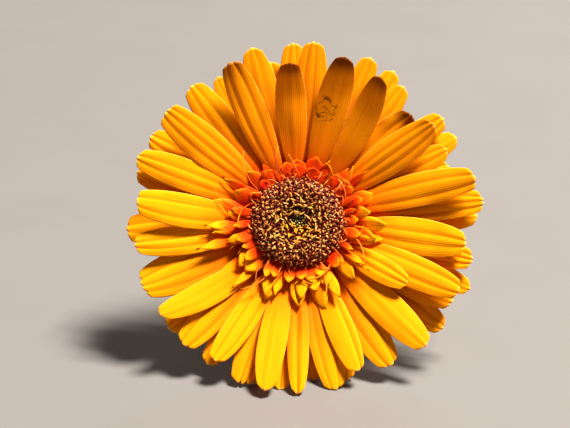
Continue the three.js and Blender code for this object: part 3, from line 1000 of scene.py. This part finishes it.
for row in involucre["rows"]:
    dice = random.Random(row["name"])
    copies = []
    for i in range(row["count"]):
        clock = 2 * math.pi * (i + dice.uniform(-0.15, 0.15)) / row["count"]
        shaped = bendStrap(
            straps["bract"]["points"], row["length"] * dice.uniform(0.85, 1.1),
            row["width"] * dice.uniform(0.85, 1.1), rad(row["lift"] + dice.uniform(-4, 4)),
            rad(row["curl"] + dice.uniform(-10, 10)), rad(dice.uniform(-8, 8)), 0.3)
        placed = placeOnHead(shaped, clock, row["radius"], row["height"])
        copies.append(("bract", placed, {"tone": dice.random()}))
    piece = scatter(row["name"], straps, copies)
    give(piece, "green_tissue", bractSkin)
    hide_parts("involucre_bracts")

c = greenColours
seatSkin = blotchedFinish("receptacle_skin", c["seatDark"], c["seatLight"], 400.0, 3.0, 0.6, (0.4, 0.0002))
for slot in nodes["receptacle"].material_slots:
    slot.material = seatSkin


# stem

stem = {
    "radius": 2.75, "foot": 12.3, "ribs": 9, "ribDepth": 0.10, "cutLength": 14, "bend": 40, "straight": 6,
    # how far in and how deep the rim of the cut and then its middle lie
    "rim": (0.5, 0.25), "cut": (1.2, 0.8), "cutSkin": 1.3,
    "hairs": 900, "hairLength": 0.9, "hairWidth": 0.05, "hairBase": 0.045, "hairSink": 0.15,
}
print("stem")
lineStart = headOrigin - faceAxis * stem["foot"] * mm
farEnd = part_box("stem")[1][1]
lineEnd = Vector((headOrigin.x, farEnd - stem["cutLength"] * mm, stem["radius"] * mm))
run = (lineStart.z - lineEnd.z) / math.tan(face["tilt"])
knee = Vector((headOrigin.x, lineStart.y + run, lineEnd.z))
stemLine = [lineStart * (1 - t) ** 2 + knee * 2 * t * (1 - t) + lineEnd * t**2
            for t in (i / stem["bend"] for i in range(stem["bend"] + 1))]
stemLine += [lineEnd + Vector((0, stem["cutLength"] * mm * k / stem["straight"], 0))
             for k in range(1, stem["straight"] + 1)]


def sweepStem():
    # a ribbed circle drawn out along the line, one length at a time
    first = (stemLine[1] - stemLine[0]).normalized()
    pitch = math.atan2(first.z, first.y)
    deselect()
    bpy.ops.mesh.primitive_circle_add(
        vertices=stem["ribs"] * 4, radius=stem["radius"] * mm, fill_type="NGON")
    tube = bpy.context.object
    for v in tube.data.vertices:
        spoke = math.atan2(v.co.y, v.co.x)
        grow = 1 + stem["ribDepth"] / stem["radius"] * (0.5 * math.cos(spoke * stem["ribs"]) - 0.5)
        v.co = Vector((v.co.x * grow, v.co.y * grow, 0))
    turned = Matrix.Rotation(pitch, 4, "X") @ Matrix.Rotation(-math.pi / 2, 4, "X")
    tube.data.transform(Matrix.Translation(stemLine[0]) @ turned)
    pick(tube)
    editAll()
    before = pitch
    for here, there in zip(stemLine, stemLine[1:]):
        step = there - here
        bpy.ops.mesh.extrude_region_move(TRANSFORM_OT_translate={"value": tuple(step)})
        after = math.atan2(step.z, step.y)
        if abs(after - before) > 1e-5:
            bpy.ops.transform.rotate(value=before - after, orient_axis="X", center_override=tuple(there))
        before = after
    for inwards, deep in (stem["rim"], stem["cut"]):
        bpy.ops.mesh.inset(thickness=inwards * mm)
        bpy.ops.transform.translate(value=(0, -deep * mm, 0))
    bpy.ops.object.mode_set(mode="OBJECT")
    return tube


tube = sweepStem()
tube.name = tube.data.name = "stem_tube"
tubePoints = pointsOf(tube.data)
linePoints = np.array([tuple(p) for p in stemLine])
nearest = np.array([np.argmin(((linePoints - p) ** 2).sum(1)) for p in tubePoints])
spoke = np.arctan2(tubePoints[:, 0] - headOrigin.x, tubePoints[:, 2] - linePoints[nearest, 2])
setMap(tube.data, np.stack([1 - nearest / len(linePoints), np.abs(spoke) / math.pi], axis=1))
cutSkin = blotchedFinish("cut_face_skin", c["cutDark"], c["cutLight"], 1500.0, 3.0, 0.35, (0.6, 0.0003))
give(tube, "stem_skin", stemFinish(), cutSkin)
for polygon in tube.data.polygons:
    if polygon.center.y > farEnd - stem["cutSkin"] * mm and polygon.normal.y > 0.5:
        polygon.material_index = 1
pick(tube)
bpy.ops.object.shade_smooth_by_angle(angle=rad(50))
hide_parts("stem")

dice = random.Random("hairs")
hairPoints, hairFaces = [], []
for i in range(stem["hairs"]):
    t = dice.uniform(0, len(stemLine) - 1.01)
    here = stemLine[int(t)].lerp(stemLine[int(t) + 1], t % 1)
    forward = (stemLine[int(t) + 1] - stemLine[int(t)]).normalized()
    turn = dice.uniform(0, 2 * math.pi)
    up = Vector((1, 0, 0)).cross(forward)
    out = Vector((1, 0, 0)) * math.cos(turn) + up * math.sin(turn)
    root = here + out * (stem["radius"] - stem["hairSink"]) * mm
    length = stem["hairLength"] * mm * dice.uniform(0.4, 1.1)
    if root.z + out.z * length < 0.05 * mm:
        continue  # it would go into the table
    wide = out.cross(forward) * stem["hairWidth"] * mm
    along = forward * stem["hairBase"] * mm
    tip = root + out * length + forward * dice.uniform(-0.4, 0.4) * length + wide * dice.uniform(-4, 4)
    base = len(hairPoints)
    hairPoints += [root + wide, root - wide * 0.5 + along, root - wide * 0.5 - along, tip]
    hairFaces += [[base + k for k in corners] for corners in ((0, 1, 3), (1, 2, 3), (2, 0, 3), (0, 2, 1))]
if hairFaces:
    hairs = newPiece("stem_hairs", [tuple(p) for p in hairPoints], [], hairFaces)
    give(hairs, "stem_skin", blotchedFinish("hair_skin", c["hairDark"], c["hairLight"], 900.0, 1.0, 0.5))


# floor, light and camera

floorPaint = {"dark": (0.155, 0.140, 0.128), "light": (0.172, 0.157, 0.145), "size": 6}
print("stage")
deselect()
bpy.ops.mesh.primitive_plane_add(size=floorPaint["size"], location=(0, 0, 0))
table = bpy.context.object
table.name = "table_top"
table.data.materials.append(blotchedFinish(
    "table_paint", floorPaint["dark"], floorPaint["light"], 30.0, 3.0, 0.75, (0.1, 0.001)))

headUp = Vector((0, math.sin(face["tilt"]), math.cos(face["tilt"])))
shoot = {"distance": 0.600, "lens": 136, "sensor": 36, "aim": (-3.6, 2.2, 4.0), "nearest": 0.01}
place = headPlace @ Vector(shoot["aim"]) + faceAxis * shoot["distance"]
bpy.ops.object.camera_add(location=place, rotation=(math.pi / 2 - face["tilt"], 0, 0))
camera = bpy.context.object
camera.data.lens = shoot["lens"]
camera.data.sensor_width = shoot["sensor"]
camera.data.clip_start = shoot["nearest"]
bpy.context.scene.camera = camera

lamps = [
    # up is the angle from the face's axis towards its top, right the angle to the right
    {"name": "key", "up": 58, "right": 20, "distance": 3.0, "size": 0.70, "power": 318,
     "colour": (1.0, 0.97, 0.92)},
    {"name": "rear", "up": 125, "right": 25, "distance": 1.3, "size": 0.8, "power": 6.0,
     "colour": (1.0, 0.97, 0.93)},
    {"name": "fill", "up": 15, "right": -30, "distance": 1.3, "size": 1.0, "power": 0.7,
     "colour": (1.0, 0.97, 0.94)},
]
for lamp in lamps:
    up, right = rad(lamp["up"]), rad(lamp["right"])
    upward = faceAxis * math.cos(up) + headUp * math.sin(up)
    aimAt = upward * math.cos(right) + Vector((math.sin(right), 0, 0))
    place = headOrigin + aimAt.normalized() * lamp["distance"]
    turned = aimAt.to_track_quat("Z", "Y").to_euler()
    bpy.ops.object.light_add(type="AREA", location=place, rotation=turned)
    light = bpy.context.object
    light.name = lamp["name"]
    light.data.size = lamp["size"]
    light.data.energy = lamp["power"]
    light.data.color = lamp["colour"]

studio = {"colour": (1.0, 0.97, 0.94, 1), "strength": 0.05}
sky = bpy.data.worlds.new("studio")
sky.use_nodes = True
sky.node_tree.nodes["Background"].inputs["Color"].default_value = studio["colour"]
sky.node_tree.nodes["Background"].inputs["Strength"].default_value = studio["strength"]
bpy.context.scene.world = sky
bpy.context.scene.view_settings.view_transform = "Standard"
